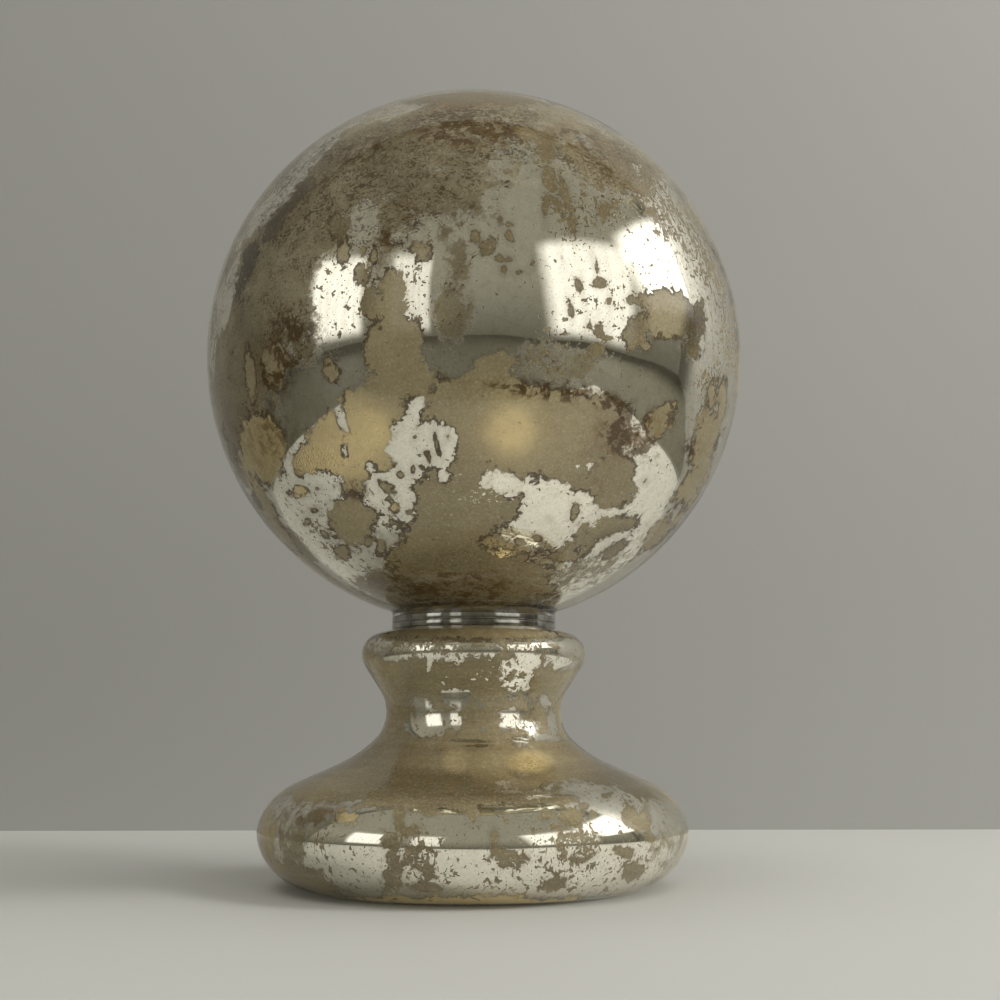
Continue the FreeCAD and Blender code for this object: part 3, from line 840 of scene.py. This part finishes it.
ballLook = {
    "hiddenKept": 0.35,
    "strokes": [
        ("worn", [  # left half, then middle and right half
            (350, 438, 46, 32, -24), (372, 405, 32, 22), (312, 458, 22, 17, -20), (356, 470, 14, 18),
            (352, 490, 14, 10, 20), (262, 448, 23, 37, -12), (251, 378, 6, 26, -8), (276, 368, 13, 24),
            (332, 372, 8, 14), (353, 520, 22, 29, -28), (343, 553, 8, 9), (381, 548, 5, 10, 10),
            (299, 492, 11, 7), (324, 534, 6, 3, 30), (314, 510, 5, 3, 20), (307, 522, 3, 3),
            (336, 537, 4, 2), (317, 489, 3, 2), (265, 505, 8, 34, -24), (284, 538, 6, 28, -34),
            (313, 572, 6, 30, -46), (228, 470, 7, 40, -14), (340, 226, 10, 13), (344, 254, 6, 15),
            (361, 275, 9, 13), (363, 251, 3, 5), (374, 256, 3, 9), (370, 303, 9, 19), (424, 251, 11, 12),
            (392, 305, 15, 34), (404, 340, 20, 28, 10), (385, 350, 22, 24), (405, 378, 34, 20),
            (247, 268, 6, 28, 20), (274, 226, 7, 20, 34), (299, 196, 7, 26, 42), (248, 250, 3, 8, 30),
            # (480, 97) lays dark lacquer along the top rim, a painted dark reflection of the ceiling
            (320, 455, 5, 6), (480, 97, 96, 7), (535, 430, 84, 46, 4), (492, 388, 30, 36, 10),
            (470, 392, 40, 20), (598, 428, 36, 34), (612, 478, 26, 30), (455, 440, 36, 62),
            (445, 512, 62, 34), (440, 560, 54, 28), (490, 580, 66, 26), (500, 508, 32, 14, -8),
            (560, 548, 22, 12, 10), (563, 477, 40, 14, 10), (546, 148, 9, 18), (549, 182, 7, 20, -6),
            (545, 208, 3.5, 12), (573, 226, 4, 14, -16), (526, 134, 11, 7), (650, 214, 9, 5, 55),
            (604, 212, 5, 8, 20), (566, 196, 4, 18, -20), (640, 186, 14, 6, 40), (622, 166, 9, 5, 30),
            (560, 206, 10, 3, 45), (486, 245, 9, 9), (476, 236, 5, 8), (510, 236, 4, 6, -20),
            (500, 257, 5, 4), (509, 259, 4, 2.5, 15), (504, 270, 3, 4), (520, 272, 4, 2.5),
            (533, 263, 3.5, 4.5, 20), (509, 224, 4, 3), (500, 220, 3, 6), (507, 172, 4, 2.2),
            (578, 285, 3.5, 8, -15), (571, 310, 3.5, 9, -15), (599, 283, 7, 5), (597, 266, 2.2, 10, -10),
            (609, 301, 3, 4), (589, 326, 3, 7), (599, 331, 7, 6, 30), (608, 340, 5, 4),
            (668, 313, 24, 27, -10), (696, 327, 11, 28, 8), (637, 332, 11, 19, 12), (630, 300, 5, 5),
            (650, 300, 12, 10), (706, 440, 13, 38, 14), (690, 488, 11, 28, 34), (660, 532, 7, 30, 50),
            (722, 400, 5, 20, 6), (712, 392, 5, 16, 10),
        ]),
        ("kept", [  # silver inside those
            (432, 445, 26, 26), (408, 450, 17, 28), (402, 492, 13, 34, -10), (384, 508, 26, 8, 24),
            (443, 478, 7, 8), (396, 430, 6, 8), (344, 450, 4, 8, -10), (342, 420, 5, 16, -20),
            (545, 514, 28, 28), (525, 527, 20, 11, 10), (562, 532, 12, 15), (580, 499, 8, 10),
            (552, 488, 22, 10), (527, 543, 27, 8, 18), (652, 484, 15, 25, -24), (640, 510, 25, 11, -44),
            (608, 541, 32, 10, -33), (584, 562, 15, 7, -26), (660, 372, 16, 26, 6), (672, 350, 9, 14),
            (641, 370, 10, 14), (600, 362, 20, 26), (560, 368, 38, 18), (530, 368, 20, 14, 14),
            (455, 362, 20, 15), (676, 512, 12, 4, -52), (640, 410, 22, 22, 20), (392, 585, 14, 6, 20),
        ]),
        ("worn", [  # worn again over it
            (382, 461, 12, 11), (386, 487, 10, 5, 34), (394, 509, 5.5, 5, 20), (409, 512, 3.5, 3),
            (400, 475, 3.5, 3.5), (421, 489, 12, 5, 8), (427, 453, 3, 2), (415, 437, 2, 2),
            (448, 437, 2, 2), (413, 470, 1.8, 4), (429, 460, 2, 1.6), (437, 444, 2.5, 12, -16),
            (575, 511, 3.5, 9, 12), (550, 519, 2, 1.6), (520, 541, 8, 4, 18), (536, 538, 7, 3, 18),
            (610, 525, 26, 8, -6), (584, 540, 10, 15), (600, 532, 16, 7, -12), (612, 551, 15, 5, -36),
            (645, 481, 2.5, 3), (597, 352, 8, 8), (660, 420, 12, 20, 30), (645, 346, 6, 6),
            (628, 436, 16, 8, 22),
        ]),
    ],
    # level in front, level on the hidden side, then spots, each with its own level first
    "tones": {
        "speck": (0.34, 0.38, [
            (0.48, 330, 190, 110, 90), (0.8, 590, 190, 60, 55), (0.7, 480, 125, 80, 30),
            (0.95, 680, 235, 22, 84, -36), (1.0, 632, 176, 40, 30, 35), (0.8, 728, 330, 8, 60, -12),
            (0.62, 655, 265, 30, 26), (0.52, 345, 300, 30, 50), (0.6, 420, 300, 18, 50),
            (0.8, 415, 325, 14, 20), (0.55, 330, 520, 60, 50), (0.25, 415, 465, 34, 45),
            (0.2, 530, 290, 34, 60), (0.8, 500, 555, 70, 20), (0.72, 560, 345, 50, 30),
            (0.75, 720, 330, 10, 30), (0.55, 600, 310, 30, 36), (0.22, 545, 510, 34, 34),
            (0.28, 640, 490, 30, 50, 30), (0.25, 520, 200, 26, 30), (0.3, 450, 300, 12, 60),
            (0.8, 712, 392, 12, 30),
        ]),
        "remnant": (0.12, 0.25, [
            (0.55, 365, 280, 12, 14), (0.45, 388, 330, 10, 24), (0.35, 310, 455, 24, 18),
            (0.55, 455, 500, 24, 40), (0.75, 490, 496, 34, 14), (0.62, 440, 562, 60, 20),
            (0.65, 520, 578, 40, 14), (0.45, 690, 226, 20, 76, -36), (0.35, 640, 190, 26, 20),
            (0.5, 600, 540, 40, 16, -30), (0.5, 700, 460, 20, 60, 20), (0.3, 590, 440, 36, 26),
            (0.45, 300, 540, 20, 60, -30), (0.4, 250, 380, 16, 30),
        ]),
        "mottle": (0.15, 0.45, [
            (0.78, 320, 225, 100, 110, 25), (0.95, 400, 170, 110, 60), (1.0, 480, 130, 90, 35),
            (0.8, 590, 150, 50, 25, 20), (0.6, 255, 330, 40, 70), (0.9, 300, 335, 34, 34),
            (0.2, 470, 91, 120, 11), (0.2, 388, 110, 60, 10, -22), (0.2, 560, 110, 60, 10, 22),
            (0.55, 610, 440, 44, 30), (0.85, 450, 575, 90, 30), (0.1, 340, 300, 26, 50),
            (0.1, 420, 290, 22, 40), (0.45, 460, 290, 20, 70), (0.75, 450, 200, 30, 40),
            (0.6, 255, 440, 30, 40), (0.35, 330, 510, 50, 40),
        ]),
        "amber": (0.12, 0.28, [
            (0.75, 362, 150, 34, 16, -20), (0.95, 468, 126, 52, 22), (0.7, 580, 138, 32, 14, 10),
            (1.0, 292, 326, 24, 18), (0.85, 392, 236, 20, 13), (0.6, 272, 430, 24, 36),
            (0.75, 276, 368, 20, 28), (0.8, 550, 392, 80, 10, 8), (1.0, 628, 438, 30, 20, 20),
            (0.95, 600, 400, 60, 9, 22), (0.7, 450, 590, 90, 24), (1.0, 692, 448, 8, 10),
            (0.9, 397, 560, 8, 7), (0.8, 355, 491, 14, 9, 20), (0.5, 400, 215, 30, 14),
            (0.4, 600, 470, 8, 26),
        ]),
        "giltAndHighlight": (0.1, 0.25, [
            # the spots at the middle and left of the middle are painted highlights, warm glows of light on
            # the lacquer
            (0.85, 345, 440, 56, 44), (1.0, 318, 462, 26, 18), (1.0, 370, 430, 18, 18),
            (0.4, 258, 440, 34, 44), (0.2, 352, 518, 28, 28), (0.22, 520, 430, 62, 52),
            (0.45, 512, 430, 34, 34), (1.0, 511, 430, 22, 22), (0.6, 299, 492, 14, 10),
            (0.6, 394, 509, 8, 8), (0.0, 675, 315, 40, 36), (0.0, 245, 260, 30, 60, 30),
            (0.0, 290, 205, 24, 40, 40),
        ]),
        "foil": (0.0, 0.0, [(0.6, 345, 438, 50, 40), (1.0, 318, 462, 28, 18), (0.25, 262, 446, 18, 30)]),
        "dull": (0.06, 0.35, [
            (0.88, 300, 235, 84, 120, 25), (0.78, 410, 165, 120, 62), (0.85, 480, 120, 110, 30),
            (0.8, 250, 340, 36, 90), (0.6, 300, 350, 30, 30), (-0.1, 340, 298, 26, 50),
            (0.0, 364, 240, 14, 40), (0.0, 418, 292, 22, 40), (0.85, 450, 590, 100, 26),
            (0.55, 455, 300, 20, 70), (0.62, 600, 160, 60, 34, 20), (0.32, 515, 185, 34, 50),
            (0.2, 284, 190, 9, 90, 42), (0.3, 226, 300, 8, 50, 14), (0.62, 470, 91, 110, 10),
            (0.5, 388, 110, 60, 10, -22), (0.6, 560, 110, 60, 10, 22), (0.45, 632, 150, 50, 9, 38),
            (0.85, 232, 420, 22, 80), (0.7, 300, 560, 14, 70, -40), (0.5, 560, 360, 50, 22),
            (0.5, 580, 575, 60, 14, -20),
        ]),
        "toneAndPaintedLight": (0.66, 0.6, [
            (0.08, 275, 226, 20, 80, 38), (0.05, 246, 270, 14, 40, 20), (0.13, 610, 210, 120, 90, 30),
            # level 0.0 at (480, 97) makes the top rim dark, a painted dark reflection
            (0.25, 480, 130, 120, 40), (0.0, 480, 97, 120, 15), (0.8, 668, 312, 26, 30),
            (0.08, 696, 327, 13, 34, 8), (0.35, 636, 332, 12, 22), (0.45, 612, 460, 40, 46),
            # levels 0.74 and 1.0 about (511, 430) are a painted highlight
            (0.74, 535, 430, 60, 46), (1.0, 511, 430, 26, 26), (0.25, 450, 592, 90, 20),
            (0.4, 455, 562, 70, 16), (0.07, 550, 180, 20, 60), (0.08, 572, 222, 8, 24),
            (0.13, 636, 180, 40, 30, 26), (0.05, 628, 438, 18, 14, 20), (0.3, 500, 250, 40, 40),
            (0.22, 592, 310, 24, 50), (0.05, 370, 303, 12, 22), (0.35, 612, 545, 30, 16, -30),
            (0.72, 258, 445, 30, 42), (0.55, 352, 520, 30, 32), (0.2, 652, 216, 16, 10, 40),
            (0.95, 344, 254, 9, 17), (0.2, 340, 226, 12, 14), (0.55, 382, 475, 16, 26),
            (0.55, 705, 440, 20, 40, 14), (0.84, 450, 398, 56, 46), (0.84, 395, 325, 30, 60),
        ]),
    },
}

ballInside = ballRows(ball["wall"], ball["boreRadius"], ball["insideGap"])
ballInside = joinRows([(ball["boreRadius"], ball["neckFoot"])], ballInside)
turnedPiece("ballGlass", shellRows(ballOutside(), ballInside),
            ball["turns"], glassFinish, "ball_glass")
ballFilm = turnedPiece("ballSilvering", filmRows(ball, ballRows), film["turns"],
                       ballFilmFinish, "ball_silvering", film["frontShare"])
wearFilm(ballFilm, ballLook, ball["wall"])

# Pedestal

pedestalLook = {
    "hiddenKept": 0.25,
    "strokes": [
        ("worn", [  # nearly all over
            (470, 700, 130, 66), (470, 770, 260, 40), (470, 630, 130, 8), (365, 690, 12, 60),
        ]),
        ("kept", [  # top and right of the bulge, and the waist
            (402, 646, 26, 8), (440, 648, 30, 11), (478, 647, 30, 9), (540, 646, 40, 10),
            (394, 655, 18, 7), (453, 655, 11, 9), (429, 664, 2.5, 8, 10), (434, 655, 10, 7),
            (487, 652, 13, 7), (517, 672, 17, 28), (530, 660, 16, 14), (563, 660, 13, 12),
            (548, 654, 14, 9), (526, 690, 6, 12), (453, 697, 15, 9, 16), (465, 695, 7, 7),
            (420, 707, 11, 9), (424, 727, 16, 11), (440, 723, 14, 13), (455, 722, 8, 14),
            (413, 722, 4, 14), (443, 683, 5, 2, 40), (446, 677, 3, 1.5, 50), (481, 706, 6, 1.8, 30),
            (475, 725, 6, 1.8, 40), (484, 731, 3, 1.4), (473, 679, 4, 1.5), (544, 703, 10, 9, 10),
            (532, 705, 5, 8), (553, 722, 5, 14, -6), (517, 722, 17, 12), (530, 728, 9, 9),
            (521, 742, 9, 6), (507, 715, 9, 4, 20), (548, 738, 14, 4, 6), (466, 741, 22, 1.7, 2),
            (478, 746, 14, 1.2), (524, 774, 12, 1.4),
        ]),
        ("worn", [  # between those
            (502, 643, 5, 4), (474, 645, 5, 3.5), (478, 664, 16, 10), (503, 656, 8, 4), (543, 676, 9, 12),
            (534, 686, 5, 8), (521, 694, 2.5, 5), (541, 717, 4.5, 13, -8), (538, 707, 4, 4),
            (446, 711, 3, 6), (452, 709, 3.5, 2.2), (444, 722, 1.5, 4, -10), (451, 733, 5, 5),
            (472, 728, 9, 8), (548, 690, 8, 5), (554, 645, 6, 2.5, 20), (414, 712, 2, 7, -10),
            (512, 643, 2, 3, 30),
        ]),
        ("kept", [  # the belly
            (478, 850, 176, 40), (360, 846, 80, 34), (605, 812, 72, 26, 14), (560, 812, 62, 10, 4),
            (322, 816, 22, 9, -20), (640, 830, 40, 26, 16), (520, 812, 60, 8), (312, 838, 30, 12),
            (350, 803, 14, 3, -14),
        ]),
        ("worn", [  # over the belly's silver
            (398, 815, 6, 16), (388, 842, 9, 12), (392, 872, 11, 26), (420, 888, 18, 5, 4),
            (431, 808, 9, 8), (348, 818, 12, 8, 10), (318, 816, 14, 6, -24), (412, 832, 9, 7, 20),
            (472, 816, 7, 12), (442, 802, 10, 5), (494, 836, 5, 10), (508, 858, 17, 11, 10),
            (496, 852, 6, 5), (545, 814, 5, 6), (573, 815, 10, 9), (583, 806, 6, 4), (560, 844, 5, 10),
            (578, 838, 14, 6), (582, 856, 13, 6, -20), (554, 884, 12, 8, -24), (593, 814, 3.5, 4),
            (608, 794, 7, 3, -20), (631, 816, 8, 15, -22), (645, 820, 6, 12, -10), (625, 852, 10, 6, 20),
            (635, 868, 9, 9, 30), (628, 877, 6, 5), (650, 838, 5, 4), (560, 800, 20, 4, -4),
            (520, 800, 30, 4), (475, 906, 190, 9), (264, 846, 10, 46), (300, 880, 40, 14, 22),
            (410, 855, 7, 9, 30), (424, 868, 9, 5, 20),
        ]),
    ],
    # level in front, level on the hidden side, then spots, each with its own level first
    "tones": {
        "speck": (0.5, 0.5, [
            (0.6, 470, 855, 180, 44), (0.72, 530, 872, 90, 22), (0.6, 630, 832, 60, 44),
            (0.75, 470, 650, 100, 20), (0.95, 425, 645, 40, 8), (0.5, 470, 715, 90, 30),
            (0.86, 520, 676, 26, 34), (0.6, 300, 850, 40, 40), (0.85, 516, 724, 14, 12),
            (0.4, 530, 662, 10, 10), (0.9, 410, 855, 26, 26), (0.9, 575, 845, 36, 26),
            (0.3, 450, 770, 200, 20), (0.4, 365, 830, 30, 12), (0.45, 440, 835, 20, 12),
        ]),
        "remnant": (0.18, 0.28, [
            (0.3, 470, 700, 60, 30), (0.6, 500, 680, 26, 30), (0.8, 525, 735, 30, 20),
            (0.7, 410, 860, 26, 30), (0.6, 508, 858, 22, 16), (0.75, 578, 848, 30, 20),
            (0.12, 470, 770, 200, 26), (0.85, 420, 645, 30, 12), (0.6, 320, 815, 30, 12),
            (0.4, 530, 785, 20, 10), (0.2, 280, 850, 14, 40),
        ]),
        "mottle": (0.08, 0.25, [
            (0.5, 470, 632, 110, 8), (0.3, 470, 770, 120, 26), (0.7, 310, 815, 30, 14),
        ]),
        "amber": (0.06, 0.15, [
            (0.35, 470, 628, 120, 8), (0.3, 470, 765, 130, 30), (0.35, 374, 700, 24, 60),
            (0.35, 310, 780, 70, 24, -28), (0.5, 310, 812, 40, 10), (0.3, 268, 850, 16, 44),
        ]),
        "giltAndHighlight": (0.08, 0.2, [
            (0.35, 374, 690, 24, 60), (0.25, 310, 780, 70, 24, -28), (0.35, 268, 850, 16, 44),
            # 0.25 and 0.9 at (530, 762) are a painted highlight on the flare
            (0.25, 530, 765, 60, 20), (0.9, 530, 762, 20, 10), (0.3, 455, 760, 12, 12),
            # 0.9 at (475, 906) lightens the foot's lower edge as painted light
            (0.5, 350, 818, 16, 10), (0.3, 470, 630, 90, 6), (0.9, 475, 906, 240, 10),
        ]),
        "foil": (0.0, 0.0, [(0.5, 530, 765, 22, 12)]),
        "dull": (0.0, 0.15, [
            (0.4, 400, 660, 26, 12), (0.55, 290, 840, 16, 40), (0.3, 560, 735, 16, 16),
            (0.45, 670, 850, 22, 34),
        ]),
        "toneAndPaintedLight": (0.66, 0.6, [
            (0.34, 475, 852, 200, 44), (0.07, 470, 776, 200, 26), (0.56, 470, 690, 120, 40),
            (0.34, 330, 785, 60, 20, -20), (0.0, 610, 780, 64, 24, 28), (0.4, 508, 858, 24, 16),
            (0.5, 470, 760, 90, 12), (0.15, 318, 816, 18, 9), (0.45, 640, 822, 20, 18),
            # 0.75 at (475, 903) lightens the underside of the foot, painted light
            (0.75, 475, 903, 210, 12), (0.62, 390, 690, 20, 40), (0.44, 372, 690, 22, 60),
            (0.12, 310, 780, 70, 24, -28), (0.36, 268, 850, 16, 44),
        ]),
    },
}

pedestalInside = pedestalRows(pedestal["wall"], pedestal["boreRadius"], pedestal["insideGap"])
pedestalInside = joinRows(pedestalInside, [(pedestal["boreRadius"], collar["lowerFoot"])])
pedestalOutside = pedestalRows(0, pedestal["mouthRadius"], pedestal["mouthGap"])
turnedPiece("pedestalGlass", shellRows(pedestalOutside, pedestalInside),
            pedestal["turns"], glassFinish, "pedestal_glass")
pedestalFilm = turnedPiece("pedestalSilvering", filmRows(pedestal, pedestalRows), film["turns"],
                           pedestalFilmFinish, "pedestal_silvering", film["frontShare"])
wearFilm(pedestalFilm, pedestalLook, pedestal["wall"])

# Collar: two polished rings with a fine groove between them

def ringRows(foot, top):
    # the rim of a ring with rounded edges, from under the foot edge to over the top edge
    edge, gap = collar["edge"], collar["edgeGap"]
    radius = collar["radius"] - edge
    lower = roundRows(radius, foot + edge, edge, -90, 0, gap)
    upper = roundRows(radius, top - edge, edge, 0, 90, gap)
    return joinRows([(collar["hole"], foot)], lower, upper)


# the collar's darker second colour stands for dark reflections, painted on the polished metal
collarFinish = makeCloudyFinish("polishedCollar", {
    "colour": (0.52, 0.51, 0.475, 1),
    "second": (0.20, 0.195, 0.17, 1),
    "metallic": 1.0,
    "roughness": (0.02, 0.10),
    "lines": 1,
    "cloudSize": 7,
    "grainSize": 1.2,
    "grainHeight": 0.004,
})
grooveRows = [(collar["grooveRadius"], collar["lowerTop"]), (collar["grooveRadius"], collar["grooveTop"])]
lowerRim = joinRows(ringRows(collar["lowerFoot"], collar["lowerTop"]), grooveRows)
upperRim = ringRows(collar["grooveTop"], collar["upperTop"])
turnedPiece("lowerCollarRing", shellRows(lowerRim, [lowerRim[0], (collar["hole"], collar["grooveTop"])]),
            collar["turns"], collarFinish, "lower_collar_ring")
turnedPiece("upperCollarRing", shellRows(upperRim, [upperRim[0], (collar["hole"], collar["upperTop"])]),
            collar["turns"], collarFinish, "upper_collar_ring")

# Pieces inside, which stay as they came and only get their finish

hiddenLooks = {
    "backing": {
        "nodes": ("ball_backing_coat", "pedestal_backing_coat"),
        "colour": (0.34, 0.29, 0.18, 1),
        "second": (0.27, 0.22, 0.13, 1),
        "metallic": 0.6,
        "roughness": (0.38, 0.52),
        "lines": 1,
        "cloudSize": 14,
        "grainSize": 0.6,
        "grainHeight": 0.03,
    },
    "cement": {
        "nodes": ("ball_neck_cement", "pedestal_neck_cement"),
        "colour": (0.24, 0.18, 0.06, 1),
        "second": (0.06, 0.04, 0.015, 1),
        "metallic": 0.0,
        "roughness": (0.3, 0.5),
        "lines": 1,
        "cloudSize": 5,
        "grainSize": 0.8,
        "grainHeight": 0.15,
    },
    "sleeveSteel": {
        "nodes": ("joining_sleeve",),
        "colour": (0.50, 0.50, 0.49, 1),
        "second": (0.40, 0.40, 0.39, 1),
        "metallic": 1.0,
        "roughness": (0.28, 0.42),
        "lines": 10,
        "cloudSize": 8,
        "grainSize": 1.0,
        "grainHeight": 0.01,
    },
}

for name, look in hiddenLooks.items():
    finish = makeCloudyFinish(name, look)
    for node in look["nodes"]:
        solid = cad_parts[node]
        for place in solid.material_slots:
            place.material = finish
        print(node, "finished with", name, "in", len(solid.material_slots), "slots")

# Studio


studio = {
    "floorColour": (0.512, 0.514, 0.495),
    "wallColour": (0.400, 0.398, 0.385),
    "backgroundColour": (0.28, 0.272, 0.252),
    "wallBehind": 0.25,
    "tableLeft": -0.40,  # the silver shows the floor as far as these, and the darker room past them
    "tableRight": 0.44,
    "tableFront": -0.37,
    "width": 6.0,
    "wallHeight": 3.0,
    "skyColour": (0.27, 0.26, 0.21),
    "skyReach": (-0.20, 0.48),  # sines of the lifts between which low goes over into sky
    "roughness": 0.6,
    "lowColour": (0.108, 0.103, 0.08),
    "thrownColour": (0.635, 0.628, 0.605),  # the table beside the foot, where the silver throws light on it
    "thrownPlace": (0.10, -0.13, 0),
    "thrownReach": (0.19, 0.06),
}


def makeStageFinish(name, colour):
    material, tree, shader = newFinish(name)
    shader.inputs["Base Color"].default_value = (*colour, 1)
    shader.inputs["Roughness"].default_value = studio["roughness"]
    return material, tree, shader


def makeFloorFinish():
    material, tree, shader = makeStageFinish("floorPaint", studio["floorColour"])
    parts = tree.nodes.new("ShaderNodeSeparateXYZ")
    feed(tree, parts.inputs[0], objectPlace(tree))
    within = sums(tree, "GREATER_THAN", parts.outputs["X"], studio["tableLeft"])
    within = sums(tree, "MULTIPLY", within, sums(tree, "LESS_THAN", parts.outputs["X"], studio["tableRight"]))
    inFront = sums(tree, "GREATER_THAN", parts.outputs["Y"], studio["tableFront"])
    within = sums(tree, "MULTIPLY", within, inFront)
    away = tree.nodes.new("ShaderNodeVectorMath")
    away.operation = "DISTANCE"
    feed(tree, away.inputs[0], objectPlace(tree))
    away.inputs[1].default_value = studio["thrownPlace"]
    thrown = ramp(tree, away.outputs["Value"], *studio["thrownReach"])
    mirrored = blend(tree, thrown, (*studio["floorColour"], 1), (*studio["thrownColour"], 1))
    mirrored = blend(tree, within, (*studio["lowColour"], 1), mirrored)
    path = tree.nodes.new("ShaderNodeLightPath")
    colour = blend(tree, path.outputs["Is Camera Ray"], mirrored, (*studio["floorColour"], 1))
    feed(tree, shader.inputs["Base Color"], colour)
    return material


def makeWallFinish():
    # seen from behind, the wall lets the camera through
    material, tree, shader = makeStageFinish("wallPaint", studio["wallColour"])
    path = tree.nodes.new("ShaderNodeLightPath")
    side = tree.nodes.new("ShaderNodeNewGeometry")
    through = sums(tree, "MULTIPLY", path.outputs["Is Camera Ray"], side.outputs["Backfacing"])
    mix = tree.nodes.new("ShaderNodeMixShader")
    feed(tree, mix.inputs[0], through)
    feed(tree, mix.inputs[1], shader.outputs[0])
    feed(tree, mix.inputs[2], tree.nodes.new("ShaderNodeBsdfTransparent").outputs[0])
    feed(tree, tree.nodes["Material Output"].inputs["Surface"], mix.outputs[0])
    return material


def makeStage(name, corners, finish):
    mesh = bpy.data.meshes.new(name)
    mesh.from_pydata(corners, [], [(0, 1, 2, 3)])
    mesh.materials.append(finish)
    panel = bpy.data.objects.new(name, mesh)
    scene.collection.objects.link(panel)


def makeStudio():
    side, back, top = studio["width"] / 2, studio["wallBehind"], studio["wallHeight"]
    floor = [(-side, -side, 0), (side, -side, 0), (side, side, 0), (-side, side, 0)]
    backdrop = [(-side, back, 0), (side, back, 0), (side, back, top), (-side, back, top)]
    makeStage("floor", floor, makeFloorFinish())
    makeStage("backdrop", backdrop, makeWallFinish())
    world = bpy.data.worlds.new("room")
    scene.world = world
    world.use_nodes = True
    tree = world.node_tree
    upward = tree.nodes.new("ShaderNodeSeparateXYZ")
    feed(tree, upward.inputs[0], tree.nodes.new("ShaderNodeTexCoord").outputs["Generated"])
    lift = ramp(tree, upward.outputs["Z"], *studio["skyReach"])
    room = blend(tree, lift, (*studio["lowColour"], 1), (*studio["skyColour"], 1))
    path = tree.nodes.new("ShaderNodeLightPath")
    shown = blend(tree, path.outputs["Is Camera Ray"], room, (*studio["backgroundColour"], 1))
    feed(tree, tree.nodes["Background"].inputs["Color"], shown)


# Lamps: direction from the ball's centre in degrees (0 is toward the camera, plus is right), lift, distance,
# width and height, strength, whether the silver mirrors them
lamps = {
    "windowLeft": (-57, 14, 1.7, (0.76, 1.0), 0.94, True),
    "windowMiddle": (-25, 14, 1.7, (0.54, 1.1), 0.64, True),
    "windowRight": (48, 17, 1.7, (1.32, 1.26), 0.90, True),
    "windowFarRight": (97, 28, 1.5, (1.66, 0.86), 1.60, True),
    "overhead": (20, 78, 1.6, (1.6, 1.6), 2.2, False),
    "side": (76, 32, 1.5, (0.4, 0.4), 22.0, False),
}
lampLight = {
    "colour": (1.0, 0.985, 0.945),
    "softShare": 0.16,  # of a panel's side, over which its light fades
    "foldAngle": 44.0,  # radians of a wave from one side of a panel to the other
    "foldDepth": 0.07,
}


def makePanelLight(data):
    # fades toward the panel's edges, as light behind a curtain does, with faint upright folds
    data.use_nodes = True
    tree = data.node_tree
    across = tree.nodes.new("ShaderNodeSeparateXYZ")
    feed(tree, across.inputs[0], tree.nodes.new("ShaderNodeNewGeometry").outputs["Parametric"])
    strength = 1.0
    for axis in ("X", "Y"):
        offMiddle = sums(tree, "ABSOLUTE", sums(tree, "SUBTRACT", across.outputs[axis], 0.5))
        toEdge = sums(tree, "SUBTRACT", 0.5, offMiddle)
        strength = sums(tree, "MULTIPLY", strength, ramp(tree, toEdge, 0.0, lampLight["softShare"]))
    folds = sums(tree, "SINE", sums(tree, "MULTIPLY", across.outputs["X"], lampLight["foldAngle"]))
    folds = sums(tree, "MULTIPLY_ADD", folds, lampLight["foldDepth"], 1.0)
    strength = sums(tree, "MULTIPLY", strength, folds)
    feed(tree, tree.nodes["Emission"].inputs["Strength"], strength)


def makeLamps():
    centre = np.array([0, 0, ball["centre"] * mm])
    for name, (turn, lift, away, size, radiance, mirrored) in lamps.items():
        data = bpy.data.lights.new(name, "AREA")
        data.shape = "RECTANGLE"
        data.size, data.size_y = size
        data.energy = radiance * math.pi * size[0] * size[1]  # watts of a panel with this radiance
        data.color = lampLight["colour"]
        if mirrored:
            makePanelLight(data)
        lamp = bpy.data.objects.new(name, data)
        turn, lift = math.radians(turn), math.radians(lift)
        out = np.array([math.sin(turn) * math.cos(lift), -math.cos(turn) * math.cos(lift), math.sin(lift)])
        lamp.location = centre + away * out
        lamp.rotation_euler = (math.pi / 2 - lift, 0, turn)
        lamp.visible_camera = False
        lamp.visible_glossy = lamp.visible_transmission = mirrored
        scene.collection.objects.link(lamp)


makeStudio()
makeLamps()
print("studio lit")
